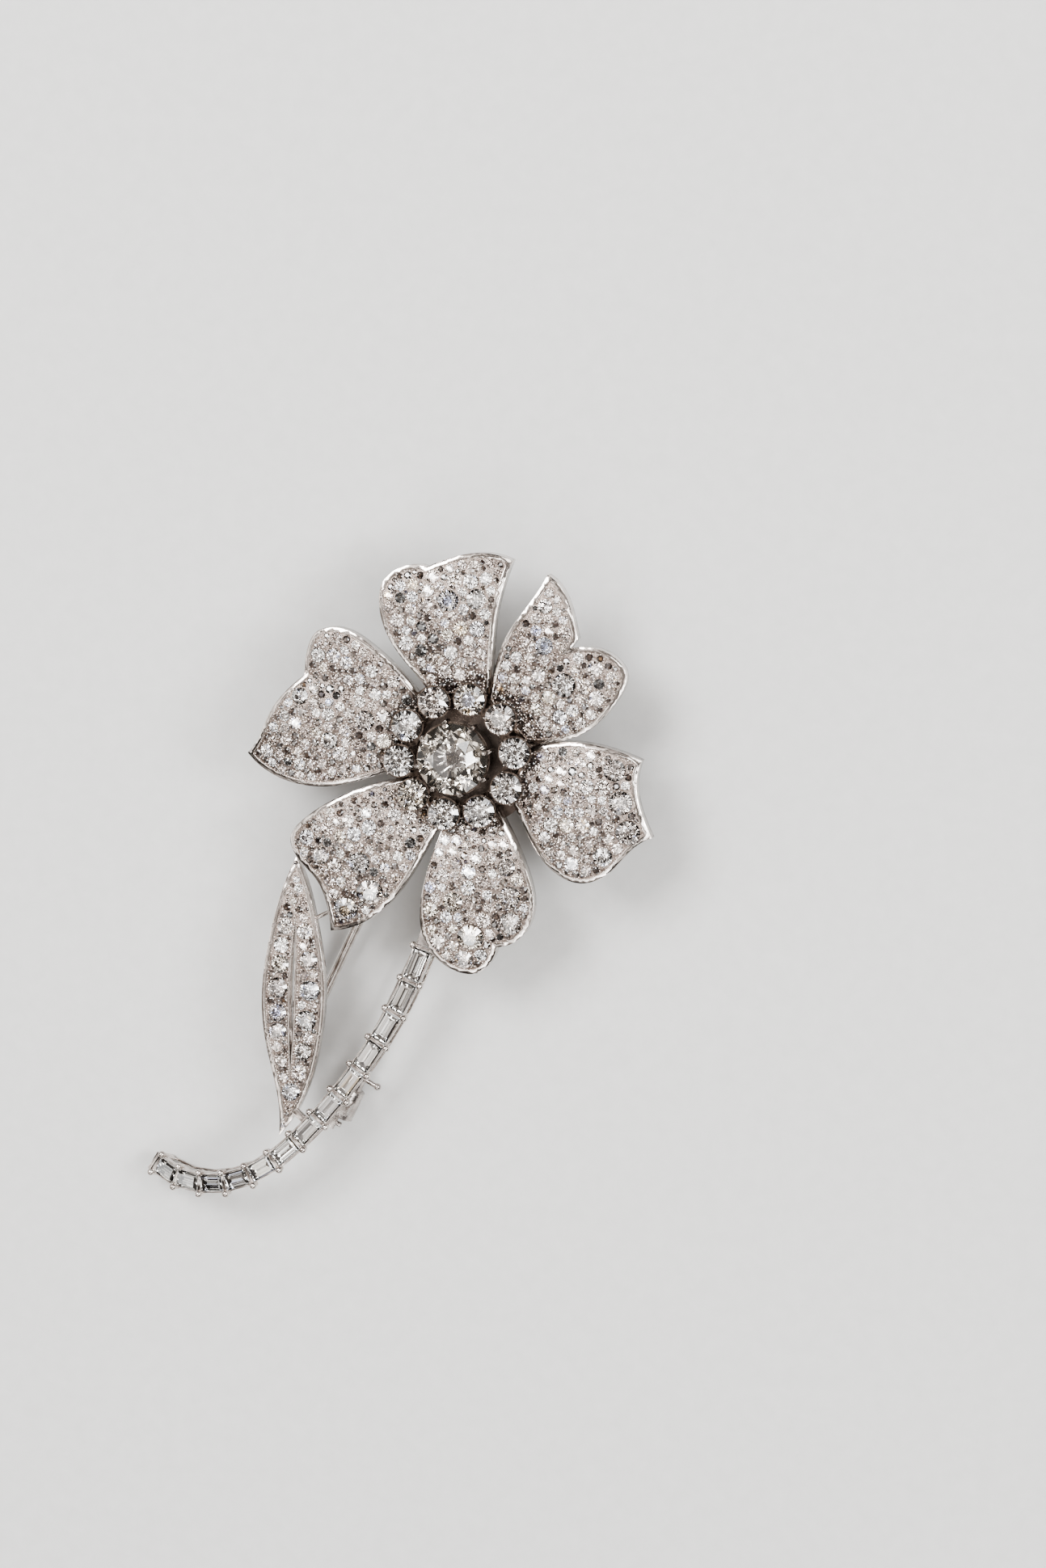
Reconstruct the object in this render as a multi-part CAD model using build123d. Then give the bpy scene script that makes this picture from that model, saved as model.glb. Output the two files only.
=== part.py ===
from build123d import *

import math
import os
import random

# A flower spray brooch, in millimetres, lying face up: +Z out of the front, +Y up when worn.
# It is drawn about the middle of the flower, with z = 0 at the surface that it lies on, and
# is moved at the end so that the origin is the middle of the bottom of the whole brooch's box.

# Flower
PETAL_DOME = 22.0
PETAL_THICK = 1.1
RIM_WIDE = 0.5
RIM_PROUD = 0.12
RIM_DEEP = 1.6
COLUMN_TALL = 20.0

# Each petal is drawn pointing along +X, x outwards from the flower's middle and y to its left,
# and then turned. Its edge is a row of smooth stretches that meet at tips and notches, its
# domes are (x, y, crest), and its large stones are (x, y, diameter).
PETALS = {
    "petal_1": {
        "turn": 95.0,
        "edge": [
            [(6.5, 2.6), (9.2, 4.2), (13.1, 6.5), (17.2, 7.5), (20.2, 6.8), (21.6, 4.2), (21.3, 1.8)],
            [(21.3, 1.8), (22.2, -1.5), (22.3, -4.7), (21.2, -7.7)],
            [(21.2, -7.7), (18.2, -6.5), (14.9, -5.5), (10.7, -4.7), (6.5, -3.6)],
        ],
        "domes": [(15.4, -0.6, 11.6), (16.6, 6.0, 11.4)],
        "large": [(17.4, -0.4, 2.4), (17.3, -3.6, 2.3), (14.0, -3.4, 1.8), (15.6, 5.6, 1.6)],
    },
    "petal_2": {
        "turn": 158.0,
        "edge": [
            [(6.2, 4.4), (9.0, 6.8), (12.5, 9.2), (16.5, 10.5), (20.0, 10.5), (22.8, 9.6)],
            [(22.8, 9.6), (22.1, 7.2), (21.9, 4.4), (20.6, 0.2), (19.7, -1.4)],
            [(19.7, -1.4), (20.4, -3.9), (20.2, -6.5), (17.8, -8.0), (14.1, -7.7), (9.7, -6.0),
             (6.2, -3.7)],
        ],
        "domes": [(15.5, 2.6, 11.6), (15.5, -5.0, 11.4)],
        "large": [(19.2, 0.9, 1.9), (11.4, 0.6, 2.3), (14.2, 4.2, 2.0), (20.6, 8.3, 1.6)],
    },
    "petal_3": {
        "turn": 41.0,
        "edge": [
            [(6.3, 2.8), (8.9, 4.4), (13.3, 6.7), (17.5, 7.7), (20.9, 8.8)],
            [(20.9, 8.8), (21.1, 6.2), (20.1, 3.4), (18.9, 1.2)],
            [(18.9, 1.2), (17.6, 0.9)],
            [(17.6, 0.9), (19.1, -0.2), (20.6, -2.6), (20.4, -5.3), (17.5, -6.9), (13.3, -7.3),
             (9.0, -5.7), (6.3, -3.6)],
        ],
        "domes": [(15.0, 5.0, 11.7), (15.4, -2.8, 11.4)],
        "large": [(14.4, -1.7, 2.7), (15.6, 3.0, 2.0), (16.2, -5.2, 1.8), (18.2, -2.6, 1.8),
                  (18.5, 6.3, 1.6)],
    },
    "petal_4": {
        "turn": 335.0,
        "edge": [
            [(6.6, -1.8), (9.7, -3.9), (14.4, -7.0), (18.0, -7.2), (20.4, -5.2), (21.6, -2.0), (23.4, 1.1)],
            [(23.4, 1.1), (21.0, 3.5), (19.3, 6.0), (18.7, 8.4)],
            [(18.7, 8.4), (15.6, 8.2), (10.8, 6.9), (6.6, 3.9)],
        ],
        "domes": [(15.5, 0.4, 11.5)],
        "large": [(16.5, 6.2, 2.5), (18.7, 3.3, 2.7), (20.8, 0.6, 2.8), (19.4, -3.1, 2.2), (16.6, -5.4, 1.7)],
    },
    "petal_5": {
        "turn": 277.0,
        "edge": [
            [(6.6, -2.6), (11.2, -4.6), (16.5, -6.5), (19.5, -6.7), (22.1, -5.8), (24.0, -3.9),
             (24.7, -1.3), (23.8, 0.3), (21.9, 1.5)],
            [(21.9, 1.5), (21.8, 2.9), (20.4, 5.1), (17.8, 6.4), (13.8, 6.2), (9.5, 4.8), (6.4, 3.4)],
        ],
        "domes": [(16.0, -2.2, 11.6), (15.2, 4.6, 11.4)],
        "large": [(19.3, 3.5, 2.6), (20.4, -1.2, 3.0), (22.9, -2.4, 2.1), (16.3, 3.9, 2.4), (13.0, 3.9, 2.0),
                  (16.2, -2.6, 2.2)],
    },
    "petal_6": {
        "turn": 218.0,
        "edge": [
            [(6.2, 4.4), (10.9, 6.5), (15.6, 8.1), (19.5, 8.4), (24.6, 6.7)],
            [(24.6, 6.7), (23.0, 4.5), (21.9, 1.2), (22.2, -2.2), (21.6, -4.3), (18.9, -5.1),
             (15.0, -4.8), (10.9, -3.7), (6.2, -1.5)],
        ],
        "domes": [(15.5, 1.6, 11.5)],
        "large": [(21.2, 5.8, 2.8), (17.7, 6.0, 3.0), (16.5, 2.7, 2.4), (19.6, -0.6, 2.0), (19.8, -3.2, 1.8),
                  (13.2, 0.2, 1.8)],
    },
}

# Round stones, as parts of the stone's radius, and the pave between the large ones
GEM_PAVILION = 0.86
GEM_GIRDLE = 0.05
GEM_CROWN = 0.34
GEM_TABLE = 0.55
SEAT_HOLE = 0.9
SEAT_LIFT = 0.01
STONE_GAP = 0.1
PAVE_GRID = 0.15
PAVE_MIX = {1.7: 2, 1.45: 3, 1.25: 5, 1.05: 5}
LEAF_MIX = {2.35: 1000, 2.1: 100, 1.8: 50, 1.5: 20, 1.2: 10, 1.0: 2, 0.8: 1}
BORDER_STEP = 0.25
INSET_STEP = 1.4

# Hub and gallery behind the flower
HUB_RADIUS = 8.6
HUB_LOW = 6.2
HUB_TOP = 7.2
HUB_EYE = 2.4
GALLERY_IN = 5.0
GALLERY_OUT = 6.1
COLLET_FOOT = 10.4
POST_RADIUS = 0.7
POST_REACH = 7.7
POST_SPREAD = 2.1

# Ring of ten stones
RING_COUNT = 10
RING_START = 5.0
RING_RADIUS = 6.6
RING_STONE = 1.75
RING_TOP = 12.3
RING_CLAW = 0.22
RING_CLAWS = 4
RING_CLAW_LOW = 0.9
RING_CLAW_TOP = 0.3
RING_CLAW_LEAN = 0.12
RING_CLAW_AWAY = 0.7
RING_FOOT = 1.25

# Centre stone
CENTRE_STONE = 4.0
CENTRE_TOP = 14.2
CENTRE_CLAW = 0.36
CENTRE_CLAWS = 8
CENTRE_CLAW_TURN = 12.0
CENTRE_CLAW_LOW = 1.6
CENTRE_CLAW_TOP = 0.75
CENTRE_CLAW_LEAN = 0.4
CENTRE_CLAW_AWAY = 0.6
CENTRE_FOOT = 3.0
COLLET_WALL = 0.14
CLAW_TIP = 1.15

# Stem: fourteen bars with thirteen baguettes between them, each cell shorter than the last
STEM_LINE = [
    (-4.8, -22.3, 8.0), (-8.2, -30.0, 8.5), (-12.8, -37.1, 8.6), (-18.8, -44.1, 8.6),
    (-25.9, -49.4, 7.8), (-31.9, -50.6, 5.8), (-37.4, -49.0, 3.0),
]
STEM_CELLS = 13
CELL_SHRINK = 0.983
RAIL_SIDE = 1.03
RAIL_WIDE = 0.18
RAIL_TOP = 0.08
RAIL_LOW = -0.85
UNDER_WIDE = 0.3
UNDER_TOP = -2.7
UNDER_LOW = -3.1
BEAD_RADIUS = 0.42
BEAD_SIDE = 1.24
BEAD_STEM = 0.26
BAR_LONG = 0.34
BAR_TOP = 0.02
BAGUETTE_WIDE = 1.84
BAGUETTE_DEEP = 0.95
BAGUETTE_RISE = 0.22
BAGUETTE_TABLE = 0.6
BAGUETTE_KEEL = 0.12
KEEL_LONG = 0.7
STONE_PLAY = 0.06
FIN_LONG = 0.5
CAP_LONG = 0.45
ROOT_CLEAR = 0.12
ROOT_MIDDLE = (-3.2, -16.0, 6.85)
ROOT_END = (-1.0, -8.3, 6.6)
ROOT_WIDE = 1.7
ROOT_THICK = 0.75
UNDER_BREAK = (5, 6)

# Leaf: a gently arched blade with a slit down its middle
LEAF_DOME = (-19.8, -28.5, 8.7)
LEAF_DOME_RADIUS = 95.0
LEAF_THICK = 0.9
LEAF_RIM_DEEP = 1.3
LEAF_LEFT = [(-19.6, -12.3), (-21.2, -16.2), (-22.6, -21.9), (-23.4, -28.5), (-22.9, -34.0), (-21.9, -38.8),
             (-21.6, -42.0), (-21.8, -44.4)]
LEAF_RIGHT = [(-19.6, -12.3), (-18.1, -15.8), (-16.9, -20.7), (-16.1, -26.5), (-16.4, -31.5), (-17.5, -36.6),
              (-19.3, -41.0), (-21.8, -44.4)]
SLIT_TOP = (-19.5, -19.3)
SLIT_FOOT = (-20.2, -37.0)
SLIT_HALF = 0.2
SLIT_RAIL = 0.32
STRUT = [(-17.2, -19.2, 7.5), (-15.6, -18.4, 7.9), (-13.4, -17.4, 9.6)]
STRUT_RADIUS = 0.25
SLIT_RAIL_LONGER = 0.6
LEAF_TIP_END = -18.4
LEAF_TIP_MIX = {1.25: 3, 1.05: 3, 0.85: 2}
LINK_BAR = 6
LINK_ALONG = 1.3
LINK_DEPTH = -0.85
LINK_LONG = 1.6
LINK_WIDE = 0.75

# Back: a two-pronged pin on one hinge, and a safety catch for each prong. Along the prongs
# and across them are horizontal, and the hinge's rivet runs across.
PIN_LINE = Vector(-0.432, -0.902, 0)
HINGE_AT = (-0.63, -1.89, 2.0)
PRONG_SIDE = 3.75
PRONG_RADIUS = 0.56
PRONG_POINT = 6.5
PRONG_TIP = (0.4, 0.16)
RIGHT_REACH = 44.0
LEFT_REACH = 39.9
LUG_IN = 2.5
LUG_WIDE = 0.9
LUG_HALF = 1.6
HINGE_PLATE = 5.4
RIVET_RADIUS = 0.5
RIVET_PLAY = 0.05
RIVET_HEAD = 0.35
BARREL_RADIUS = 1.1
BARREL_PLAY = 0.1
TONGUE_NEAR = 0.5
TONGUE_WIDE = 3.4
TONGUE_THICK = 1.0
CROSSBAR_NEAR = 3.0
CROSSBAR_SECTION = 1.25
CROSSBAR_ROUND = 0.4
HOUSING_LONG = 3.5
HOUSING_BACK = 0.5
HOUSING_RADIUS = 1.65
HOUSING_BORE = 1.2
HOUSING_MOUTH = 1.5
ROTOR_RADIUS = 1.15
ROTOR_BORE = 0.72
ROTOR_MOUTH = 1.36
ROTOR_OUT = 2.3
ROTOR_INSIDE = 0.2
LEVER_ANGLE = 15.0
LEVER_REACH = 2.85
LEVER_RADIUS = 0.28
LEVER_FOOT = 0.3
LEVER_SETBACK = 0.6
KNOB_RADIUS = 0.42
STOP_AWAY = 0.5
STOP_HALF = 0.75
STOP_RADIUS = 0.29
STOP_ARM = (1.8, 0.7, 0.4)
STOP_DROP = (0.45, 0.5, 1.65)
RIGHT_POST = (1.4, 2.6)
LEFT_POST = (1.4, 1.4)
POST_TALL = 7.0
CATCH_BED = (8.0, 4.0)

parts = {}


# ---------------------------------------------------------------- shared shapes
def turned(point, degrees):
    """A point of a petal's own drawing, turned to the petal's place in the flower."""
    x, y = point[0], point[1]
    c, s = math.cos(math.radians(degrees)), math.sin(math.radians(degrees))
    return (x * c - y * s, x * s + y * c)


def smooth(points):
    """A smooth curve through points, or a straight line between two."""
    return Spline(*points) if len(points) > 2 else Line(*points)


def edge_curves(stretches):
    """Smooth stretches joined end to end and closed by a straight line at the base."""
    return [smooth(points) for points in stretches] + [Line(stretches[-1][-1], stretches[0][0])]


def inset_curves(curves, amount):
    """The same closed row of curves moved inwards by one amount, with its corners kept."""
    ends = [curve.position_at(part) for curve in curves for part in (0, 0.5)]
    swept = sum(a.cross(b).Z for a, b in zip(ends, ends[1:] + ends[:1]))
    turn = Vector(0, 0, math.copysign(1, swept))
    corners = []
    for before, after in zip(curves[-1:] + curves[:-1], curves):
        side_a = turn.cross(before.tangent_at(1))
        side_b = turn.cross(after.tangent_at(0))
        corners.append(after.position_at(0) + (side_a + side_b) * (amount / (1 + side_a.dot(side_b))))
    moved = []
    for curve, start, stop in zip(curves, corners, corners[1:] + corners[:1]):
        count = max(2, int(curve.length / INSET_STEP))
        points = [start]
        for i in range(1, count):
            point = curve.position_at(i / count) + turn.cross(curve.tangent_at(i / count)) * amount
            clear = min((point - start).length, (point - stop).length)
            forward = (point - start).dot(curve.tangent_at(0)) > 0
            if clear > INSET_STEP / 2 and forward and (stop - point).dot(curve.tangent_at(1)) > 0:
                points.append(point)
        moved.append(smooth(points + [stop]))
    return moved


def balls(domes, grow):
    """The domes' balls, each (x, y, crest, radius), grown or shrunk by one amount."""
    solids = [Pos(x, y, crest - radius) * Sphere(radius + grow) for x, y, crest, radius in domes]
    return solids[0] if len(solids) == 1 else solids[0] + solids[1]


def domed(face, domes, proud, deep):
    """A plate with a flat drawing's outline and the domes' curve, between two heights."""
    column = extrude(face, COLUMN_TALL, dir=(0, 0, 1))
    return (column & balls(domes, proud)) - balls(domes, -deep)


def gem(radius):
    """A round stone with its girdle at z = 0: table, crown, girdle and pavilion."""
    top = (GEM_GIRDLE + GEM_CROWN) * radius
    profile = Polyline(
        (0, 0, -GEM_PAVILION * radius), (radius, 0, 0), (radius, 0, GEM_GIRDLE * radius),
        (GEM_TABLE * radius, 0, top), (0, 0, top), close=True,
    )
    return revolve(make_face(profile), Axis.Z)


def upper_dome(x, y, domes):
    """The dome that stands highest over a place, with the surface point and its normal."""
    best = None
    for cx, cy, crest, radius in domes:
        flat = math.dist((x, y), (cx, cy))
        height = crest - radius + math.sqrt(radius ** 2 - flat ** 2)
        if best is None or height > best[0]:
            best = (height, Vector(cx, cy, crest - radius), radius)
    height, middle, radius = best
    normal = (Vector(x, y, height) - middle).normalized()
    return middle, radius, normal


def crease_room(x, y, domes):
    """How far a place is from the crease where two domes meet."""
    if len(domes) == 1:
        return math.inf
    (ax, ay, a_crest, radius), (bx, by, b_crest, _) = domes
    near = math.dist((x, y), (ax, ay)) ** 2 - math.dist((x, y), (bx, by)) ** 2
    near -= 2 * radius * (a_crest - b_crest)
    return abs(near) / (2 * math.dist((ax, ay), (bx, by)))


def inside(x, y, border):
    """Whether a place is inside a closed row of border points."""
    hit = False
    for (ax, ay), (bx, by) in zip(border, border[1:] + border[:1]):
        if (ay > y) != (by > y) and x < (bx - ax) * (y - ay) / (by - ay) + ax:
            hit = not hit
    return hit


def border_of(wires):
    """Points close together along closed wires, a list for each wire."""
    rows = []
    for wire in wires:
        count = int(wire.length / BORDER_STEP)
        rows.append([(wire.position_at(i / count).X, wire.position_at(i / count).Y) for i in range(count)])
    return rows


def lay_stones(field, domes, large, blocked, mix, seed):
    """Places (x, y, radius) for a close irregular field of stones inside a flat outline.

    Each new stone takes the spot that it fits most snugly, between the edge and its neighbours.
    """
    draw = random.Random(seed)
    face = field.faces()[0]
    rows = border_of([face.outer_wire()] + list(face.inner_wires()))
    edge_points = [point for row in rows for point in row]
    stones = list(large)
    taken = [(x, y, radius + STONE_GAP / 2) for x, y, radius in stones + list(blocked)]
    box = face.bounding_box()
    spots = []
    for i in range(int(box.size.X / PAVE_GRID)):
        for j in range(int(box.size.Y / PAVE_GRID)):
            x = box.min.X + i * PAVE_GRID
            y = box.min.Y + j * PAVE_GRID
            if inside(x, y, rows[0]) and not any(inside(x, y, row) for row in rows[1:]):
                room = min(math.dist((x, y), point) for point in edge_points)
                stones_room = [math.dist((x, y), (u, v)) - r for u, v, r in taken]
                room = min([room, crease_room(x, y, domes)] + stones_room)
                spots.append([x, y, room])
    sizes = sorted(mix)
    while True:
        size = draw.choices(list(mix), weights=mix.values())[0]
        for fallback in [size] + [one for one in reversed(sizes) if one < size]:
            need = (fallback + STONE_GAP) / 2
            open_spots = [spot for spot in spots if spot[2] >= need]
            if open_spots:
                break
        else:
            if size == sizes[0]:
                return stones
            continue
        x, y, _ = min(open_spots, key=lambda spot: spot[2])
        stones.append((x, y, fallback / 2))
        spots = [[u, v, min(room, math.dist((u, v), (x, y)) - need)] for u, v, room in spots]
        spots = [spot for spot in spots if spot[2] >= (sizes[0] + STONE_GAP) / 2]


def set_stones(plate, domes, stones):
    """The plate drilled under each stone, and the stones resting on their holes' edges."""
    drills = []
    gems = []
    for x, y, radius in stones:
        middle, dome_radius, normal = upper_dome(x, y, domes)
        hole = SEAT_HOLE * radius
        edge = math.sqrt(dome_radius ** 2 - hole ** 2)
        girdle = edge + (radius - hole) * GEM_PAVILION + SEAT_LIFT
        seat = Plane(middle + normal * girdle, z_dir=normal)
        drills.append(seat * Cylinder(hole, 4 * PETAL_THICK))
        gems.append(seat * gem(radius))
    return plate - drills, Compound(gems)


# ---------------------------------------------------------------- flower
def ring_places():
    """The middles of the ring's stones."""
    angles = [RING_START + i * 360 / RING_COUNT for i in range(RING_COUNT)]
    return [(angle, *turned((RING_RADIUS, 0), angle)) for angle in angles]


def make_petal(name, petal, seed):
    """One petal: a drilled domed plate, the polished rim soldered round it, and its stones."""
    turn = petal["turn"]
    domes = [(*turned((x, y), turn), crest, PETAL_DOME) for x, y, crest in petal["domes"]]
    curves = edge_curves(petal["edge"])
    outline = Rot(0, 0, turn) * make_face(curves)
    field = Rot(0, 0, turn) * make_face(inset_curves(curves, RIM_WIDE))
    plate = domed(field, domes, 0, PETAL_THICK)
    rim = domed(outline - field, domes, RIM_PROUD, RIM_DEEP)
    large = [(*turned((x, y), turn), size / 2) for x, y, size in petal["large"]]
    ring = [(x, y, RING_STONE + RING_CLAW) for _, x, y in ring_places()]
    stones = lay_stones(field, domes, large, ring, PAVE_MIX, seed)
    drilled, gems = set_stones(plate, domes, stones)
    parts[name + "_plate"] = drilled
    parts[name + "_rim"] = rim
    parts[name + "_stones"] = gems
    return plate, domes, turn


def petal_post(turn, side, domes):
    """A short post from the hub up to the back of a petal."""
    x, y = turned((POST_REACH, side * POST_SPREAD / 2), turn)
    post = Pos(x, y, (HUB_TOP + COLUMN_TALL) / 2) * Cylinder(POST_RADIUS, COLUMN_TALL - HUB_TOP)
    return post & balls(domes, -PETAL_THICK)


def collet(foot, foot_radius, top, stone_radius):
    """A tapered tube that a round stone drops into, with its foot at one height and its lip at another."""
    lip = stone_radius * SEAT_HOLE
    outer = stone_radius + COLLET_WALL
    profile = Polyline(
        (foot_radius - 2 * COLLET_WALL, 0, foot), (foot_radius, 0, foot), (outer, 0, top), (lip, 0, top),
        close=True,
    )
    return revolve(make_face(profile), Axis.Z)


def claw(radius, low, high, lean):
    """An upright claw of round wire at x = 0, its tip leaning over the stone towards -X."""
    wire = Pos(0, 0, (low + high) / 2) * Cylinder(radius, high - low)
    tip = Pos(-lean, 0, high) * Sphere(radius * CLAW_TIP)
    return wire + tip


def make_ring():
    """Ten stones, each in its own collet with four claws, on one gallery rail."""
    girdle = RING_TOP + RING_STONE * (1 - SEAT_HOLE) * GEM_PAVILION + SEAT_LIFT
    tube = collet(COLLET_FOOT, RING_FOOT, RING_TOP, RING_STONE)
    stone = Pos(0, 0, girdle) * gem(RING_STONE)
    spot = Pos(RING_STONE + RING_CLAW * RING_CLAW_AWAY, 0, 0)
    one = spot * claw(RING_CLAW, RING_TOP - RING_CLAW_LOW, girdle + RING_CLAW_TOP, RING_CLAW_LEAN)
    claws = [Rot(0, 0, (i + 0.5) * 360 / RING_CLAWS) * one - stone for i in range(RING_CLAWS)]
    tube = tube - claws
    collets = []
    stones = []
    all_claws = []
    for angle, x, y in ring_places():
        place = Pos(x, y, 0) * Rot(0, 0, angle)
        collets.append(place * tube)
        stones.append(place * stone)
        all_claws += [place * one for one in claws]
    rail = Cylinder(GALLERY_OUT, COLLET_FOOT - HUB_TOP) - Cylinder(GALLERY_IN, COLLET_FOOT - HUB_TOP)
    parts["ring_gallery"] = Pos(0, 0, (COLLET_FOOT + HUB_TOP) / 2) * rail
    parts["ring_collets"] = Compound(collets)
    parts["ring_claws"] = Compound(all_claws)
    parts["ring_stones"] = Compound(stones)


def make_centre():
    """The centre stone in its tall collet, held by eight claws."""
    girdle = CENTRE_TOP + CENTRE_STONE * (1 - SEAT_HOLE) * GEM_PAVILION + SEAT_LIFT
    stone = Pos(0, 0, girdle) * gem(CENTRE_STONE)
    tube = collet(HUB_TOP, CENTRE_FOOT, CENTRE_TOP, CENTRE_STONE)
    spot = Pos(CENTRE_STONE + CENTRE_CLAW * CENTRE_CLAW_AWAY, 0, 0)
    one = spot * claw(CENTRE_CLAW, CENTRE_TOP - CENTRE_CLAW_LOW, girdle + CENTRE_CLAW_TOP, CENTRE_CLAW_LEAN)
    angles = [CENTRE_CLAW_TURN + i * 360 / CENTRE_CLAWS for i in range(CENTRE_CLAWS)]
    claws = [Rot(0, 0, angle) * one - stone for angle in angles]
    parts["centre_collet"] = tube - claws
    parts["centre_claws"] = Compound(claws)
    parts["centre_stone"] = stone


def make_flower():
    """Six petals on posts round a hub, the ring of stones and the centre stone."""
    blanks = {}
    posts = []
    for seed, (name, petal) in enumerate(PETALS.items()):
        plate, domes, turn = make_petal(name, petal, seed + 1)
        blanks[name] = plate
        posts += [petal_post(turn, side, domes) - parts[name + "_rim"] for side in (-1, 1)]
    parts["petal_posts"] = Compound(posts)
    disc = Cylinder(HUB_RADIUS, HUB_TOP - HUB_LOW) - Cylinder(HUB_EYE, HUB_TOP - HUB_LOW)
    parts["flower_hub"] = Pos(0, 0, (HUB_TOP + HUB_LOW) / 2) * disc
    make_ring()
    make_centre()
    return blanks


# ---------------------------------------------------------------- stem
def stem_stations():
    """A frame at each bar: x across towards the leaf, y down the stem and z out of its front."""
    line = Spline(*STEM_LINE)
    lengths = [CELL_SHRINK ** i for i in range(STEM_CELLS)]
    frames = []
    for i in range(STEM_CELLS + 1):
        along = sum(lengths[:i]) / sum(lengths)
        forward = line.tangent_at(along)
        across = Vector(forward.Y, -forward.X, 0).normalized()
        frames.append(Plane(line.position_at(along), x_dir=across, z_dir=across.cross(forward)))
    return frames


def rail_through(frames, side, wide, low, top):
    """One straight-sided rail through the stations, at one distance across and one depth."""
    sections = []
    for frame in frames:
        left, right = side - wide / 2, side + wide / 2
        corners = [(left, low), (right, low), (right, top), (left, top)]
        points = [frame.from_local_coords((x, 0, z)) for x, z in corners]
        sections.append(make_face(Polyline(*points, close=True)))
    return loft(sections, ruled=True)


def block_at(frame, x, z_low, z_top, wide, long):
    """A square block standing at a station, from one depth to another."""
    return frame * (Pos(x, 0, (z_low + z_top) / 2) * Box(wide, long, z_top - z_low))


def baguette(frame, long):
    """A step-cut stone, longer than wide, with its table just proud of the rails."""
    wide = BAGUETTE_WIDE
    girdle = Rectangle(wide, long)
    table = Rectangle(wide * BAGUETTE_TABLE, long - wide * (1 - BAGUETTE_TABLE))
    keel = Rectangle(wide * BAGUETTE_KEEL, long * KEEL_LONG)
    crown = loft([girdle, Pos(0, 0, BAGUETTE_RISE) * table])
    back = loft([Pos(0, 0, -BAGUETTE_DEEP) * keel, girdle])
    return frame * (crown + back)


def make_stem():
    """The stem: bars with a bead at each end, baguettes between them, rails beside and below."""
    frames = stem_stations()
    beads = []
    bars = []
    fins = []
    for frame in frames:
        for side in (-1, 1):
            ball = Pos(side * BEAD_SIDE, 0, RAIL_TOP) * Sphere(BEAD_RADIUS)
            foot_at = Pos(side * BEAD_SIDE, 0, (RAIL_TOP + RAIL_LOW) / 2)
            foot = foot_at * Cylinder(BEAD_STEM, RAIL_TOP - RAIL_LOW)
            beads.append(frame * (ball + foot))
            fins.append(block_at(frame, side * RAIL_SIDE, UNDER_TOP, RAIL_LOW, RAIL_WIDE, FIN_LONG))
        bar_wide = 2 * RAIL_SIDE - RAIL_WIDE - STONE_PLAY
        bars.append(block_at(frame, 0, RAIL_LOW, BAR_TOP, bar_wide, BAR_LONG) - beads[-2:])
    stop, start = UNDER_BREAK
    under = [
        rail_through(frames, RAIL_SIDE, UNDER_WIDE, UNDER_LOW, UNDER_TOP),
        rail_through(frames[:stop], -RAIL_SIDE, UNDER_WIDE, UNDER_LOW, UNDER_TOP),
        rail_through(frames[start:], -RAIL_SIDE, UNDER_WIDE, UNDER_LOW, UNDER_TOP),
    ]
    parts["stem_under_rails"] = Compound(under)
    parts["stem_beads"] = Compound(beads)
    parts["stem_cross_bars"] = Compound(bars)
    parts["stem_posts"] = Compound(fins)
    stones = []
    rails = []
    for near, far in zip(frames, frames[1:]):
        run = far.origin - near.origin
        forward = run.normalized()
        across = (near.x_dir + far.x_dir).normalized()
        middle = Plane((near.origin + far.origin) * 0.5, x_dir=across, z_dir=across.cross(forward))
        stones.append(baguette(middle, run.length - BAR_LONG - 2 * STONE_PLAY))
        for side in (-1, 1):
            long = run.length - 2 * (BEAD_RADIUS + STONE_PLAY)
            rails.append(block_at(middle, side * RAIL_SIDE, RAIL_LOW, RAIL_TOP, RAIL_WIDE, long))
    parts["stem_top_rails"] = Compound(rails)
    parts["stem_baguettes"] = Compound(stones)
    last = frames[-1]
    cap_wide = 2 * RAIL_SIDE + RAIL_WIDE
    cap = Pos(0, FIN_LONG, (RAIL_TOP + UNDER_LOW) / 2) * Box(cap_wide, CAP_LONG, RAIL_TOP - UNDER_LOW)
    parts["stem_end_cap"] = last * cap - beads[-2:]
    make_stem_root(frames[0])
    return frames


def make_stem_root(first):
    """The arm that joins the stem's first bar to the hub, behind the lowest petal."""
    start = first.origin + first.z_dir * (RAIL_LOW / 2) - first.y_dir * (BAR_LONG / 2 + ROOT_CLEAR)
    path = Spline(start, ROOT_MIDDLE, ROOT_END)
    section = Plane(start, x_dir=first.x_dir, z_dir=path.tangent_at(0)) * Rectangle(ROOT_WIDE, ROOT_THICK)
    arm = sweep(section, path)
    hub = Pos(0, 0, (HUB_TOP + HUB_LOW) / 2) * Cylinder(HUB_RADIUS, HUB_TOP - HUB_LOW)
    parts["stem_root"] = arm - hub


# ---------------------------------------------------------------- leaf
def slit_shape(half, longer):
    """The slit's outline, a long thin lens, drawn wider and longer for the rail round it."""
    top = Vector(*SLIT_TOP)
    foot = Vector(*SLIT_FOOT)
    along = (top - foot).normalized()
    across = Vector(-along.Y, along.X, 0)
    high = top + along * longer
    low = foot - along * longer
    middle = (high + low) * 0.5
    left = ThreePointArc(high, middle + across * half, low)
    right = ThreePointArc(low, middle - across * half, high)
    return make_face([left, right])


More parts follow.
